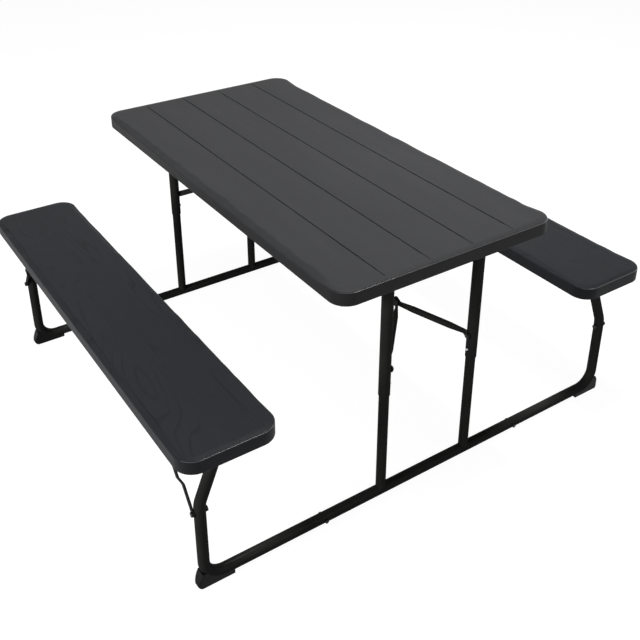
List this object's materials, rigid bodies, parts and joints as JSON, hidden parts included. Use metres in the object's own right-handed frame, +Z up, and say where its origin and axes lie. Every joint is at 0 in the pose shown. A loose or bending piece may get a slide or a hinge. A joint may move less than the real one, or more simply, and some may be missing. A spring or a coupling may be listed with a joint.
{
  "type": "folding picnic table with benches",
  "caption": "Folding picnic table with two attached benches: dark moulded wood-look tops on black steel tube frames with telescoping posts, folding braces and plastic feet.",
  "frame": {"origin": "floor level, under the middle of the table", "axes": "+X along the table to the near end of the picture, +Y across to the right bench, +Z up"},
  "size_m": [1.386, 1.516, 0.749],
  "materials": {
    "table_board": "satin moulded polyethylene, charcoal, plank grooves",
    "bench_board": "satin moulded polyethylene, dark charcoal, moulded grain",
    "black_frame": "semi-gloss black powder coat",
    "foot_plastic": "black moulded plastic",
    "guide_plastic": "black acetal",
    "bright_steel": "zinc-plated spring steel",
    "dark_fastener": "black plated"
  },
  "bodies": {
    "table": {"tabletop": "table_board", "left_side_rail": "black_frame", "right_side_rail": "black_frame", "brace_anchor": "black_frame", "tabletop_fasteners": "dark_fastener"},
    "near_upper_leg": {"near_table_pivot_tube": "black_frame", "near_left_upper_post": "black_frame", "near_right_upper_post": "black_frame", "near_brace_studs": "dark_fastener"},
    "near_base": {"near_centre_rail": "black_frame", "near_left_lower_post": "black_frame", "near_right_lower_post": "black_frame", "near_left_bench_support": "black_frame", "near_right_bench_support": "black_frame", "near_left_bench_pivot_tube": "black_frame", "near_right_bench_pivot_tube": "black_frame", "near_left_foot": "foot_plastic", "near_right_foot": "foot_plastic", "near_post_guides": "guide_plastic", "near_base_bolts": "dark_fastener"},
    "near_brace": {"near_left_brace_arm": "black_frame", "near_right_brace_arm": "black_frame", "near_knee_pin": "dark_fastener"},
    "near_link": {"near_brace_link": "black_frame"},
    "far_upper_leg": {"far_table_pivot_tube": "black_frame", "far_left_upper_post": "black_frame", "far_right_upper_post": "black_frame", "far_brace_studs": "dark_fastener"},
    "far_base": {"far_centre_rail": "black_frame", "far_left_lower_post": "black_frame", "far_right_lower_post": "black_frame", "far_left_bench_support": "black_frame", "far_right_bench_support": "black_frame", "far_left_bench_pivot_tube": "black_frame", "far_right_bench_pivot_tube": "black_frame", "far_left_foot": "foot_plastic", "far_right_foot": "foot_plastic", "far_post_guides": "guide_plastic", "far_base_bolts": "dark_fastener"},
    "far_brace": {"far_left_brace_arm": "black_frame", "far_right_brace_arm": "black_frame", "far_knee_pin": "dark_fastener"},
    "far_link": {"far_brace_link": "black_frame"},
    "left_bench": {"left_bench_top": "bench_board", "left_bench_brackets": "black_frame", "left_strut_guides": "black_frame", "left_bench_screws": "dark_fastener"},
    "right_bench": {"right_bench_top": "bench_board", "right_bench_brackets": "black_frame", "right_strut_guides": "black_frame", "right_bench_screws": "dark_fastener"},
    "near_left_strut": {"near_left_bench_strut": "black_frame"},
    "near_left_button": {"near_left_snap_button": "bright_steel"},
    "near_right_strut": {"near_right_bench_strut": "black_frame"},
    "near_right_button": {"near_right_snap_button": "bright_steel"},
    "far_left_strut": {"far_left_bench_strut": "black_frame"},
    "far_left_button": {"far_left_snap_button": "bright_steel"},
    "far_right_strut": {"far_right_bench_strut": "black_frame"},
    "far_right_button": {"far_right_snap_button": "bright_steel"}
  },
  "joints": [
    {"name": "near_leg_fold", "type": "hinge", "parent": "table", "child": "near_upper_leg", "pos_m": [0.614, 0, 0.69], "axis": [0, 1, 0], "range_deg": [0, 90]},
    {"name": "near_post_telescope", "type": "slide", "parent": "near_upper_leg", "child": "near_base", "axis": [0, 0, 1], "range_m": [0, 0.281]},
    {"name": "near_brace_fold", "type": "hinge", "parent": "near_upper_leg", "child": "near_brace", "pos_m": [0.614, 0, 0.418], "axis": [0, 1, 0], "range_deg": [0, 54.35]},
    {"name": "near_link_swing", "type": "hinge", "parent": "table", "child": "near_link", "pos_m": [0.029, 0, 0.716], "axis": [0, 1, 0], "range_deg": [-26.99, 0]},
    {"name": "far_leg_fold", "type": "hinge", "parent": "table", "child": "far_upper_leg", "pos_m": [-0.614, 0, 0.69], "axis": [0, -1, 0], "range_deg": [0, 90]},
    {"name": "far_post_telescope", "type": "slide", "parent": "far_upper_leg", "child": "far_base", "axis": [0, 0, 1], "range_m": [0, 0.281]},
    {"name": "far_brace_fold", "type": "hinge", "parent": "far_upper_leg", "child": "far_brace", "pos_m": [-0.614, 0, 0.418], "axis": [0, -1, 0], "range_deg": [0, 54.35]},
    {"name": "far_link_swing", "type": "hinge", "parent": "table", "child": "far_link", "pos_m": [-0.029, 0, 0.716], "axis": [0, -1, 0], "range_deg": [-26.99, 0]},
    {"name": "left_bench_pivot", "type": "hinge", "parent": "near_base", "child": "left_bench", "pos_m": [0.614, 0, 0.409], "axis": [0, 1, 0], "range_deg": [-90, 0]},
    {"name": "right_bench_pivot", "type": "hinge", "parent": "near_base", "child": "right_bench", "pos_m": [0.614, 0, 0.409], "axis": [0, 1, 0], "range_deg": [-90, 0]},
    {"name": "near_left_strut_pivot", "type": "hinge", "parent": "near_base", "child": "near_left_strut", "pos_m": [0.614, 0, 0.239], "axis": [0, 1, 0], "range_deg": [-138.9, 0]},
    {"name": "near_left_button_press", "type": "slide", "parent": "near_base", "child": "near_left_button", "axis": [0, -1, 0], "range_m": [0, 0.0076], "stiffness_N_per_m": 1200, "deforming": ["near_left_snap_button"]},
    {"name": "near_right_strut_pivot", "type": "hinge", "parent": "near_base", "child": "near_right_strut", "pos_m": [0.614, 0, 0.239], "axis": [0, 1, 0], "range_deg": [-138.9, 0]},
    {"name": "near_right_button_press", "type": "slide", "parent": "near_base", "child": "near_right_button", "axis": [0, 1, 0], "range_m": [0, 0.0076], "stiffness_N_per_m": 1200, "deforming": ["near_right_snap_button"]},
    {"name": "far_left_strut_pivot", "type": "hinge", "parent": "far_base", "child": "far_left_strut", "pos_m": [-0.614, 0, 0.239], "axis": [0, -1, 0], "range_deg": [-138.9, 0]},
    {"name": "far_left_button_press", "type": "slide", "parent": "far_base", "child": "far_left_button", "axis": [0, -1, 0], "range_m": [0, 0.0076], "stiffness_N_per_m": 1200, "deforming": ["far_left_snap_button"]},
    {"name": "far_right_strut_pivot", "type": "hinge", "parent": "far_base", "child": "far_right_strut", "pos_m": [-0.614, 0, 0.239], "axis": [0, -1, 0], "range_deg": [-138.9, 0]},
    {"name": "far_right_button_press", "type": "slide", "parent": "far_base", "child": "far_right_button", "axis": [0, 1, 0], "range_m": [0, 0.0076], "stiffness_N_per_m": 1200, "deforming": ["far_right_snap_button"]}
  ],
  "couplings": [
    {"joint": "near_post_telescope", "follows": "near_leg_fold", "m_per_rad": 0.17889},
    {"joint": "near_brace_fold", "follows": "near_leg_fold", "ratio": 0.60388},
    {"joint": "near_link_swing", "follows": "near_leg_fold", "ratio": -0.29994},
    {"joint": "far_leg_fold", "follows": "near_leg_fold", "ratio": 1},
    {"joint": "far_post_telescope", "follows": "near_leg_fold", "m_per_rad": 0.17889},
    {"joint": "far_brace_fold", "follows": "near_leg_fold", "ratio": 0.60388},
    {"joint": "far_link_swing", "follows": "near_leg_fold", "ratio": -0.29994},
    {"joint": "left_bench_pivot", "follows": "near_leg_fold", "ratio": -1},
    {"joint": "right_bench_pivot", "follows": "near_leg_fold", "ratio": -1},
    {"joint": "near_left_strut_pivot", "follows": "near_leg_fold", "ratio": -1.5433},
    {"joint": "near_right_strut_pivot", "follows": "near_leg_fold", "ratio": -1.5433},
    {"joint": "far_left_strut_pivot", "follows": "near_leg_fold", "ratio": -1.5433},
    {"joint": "far_right_strut_pivot", "follows": "near_leg_fold", "ratio": -1.5433}
  ]
}
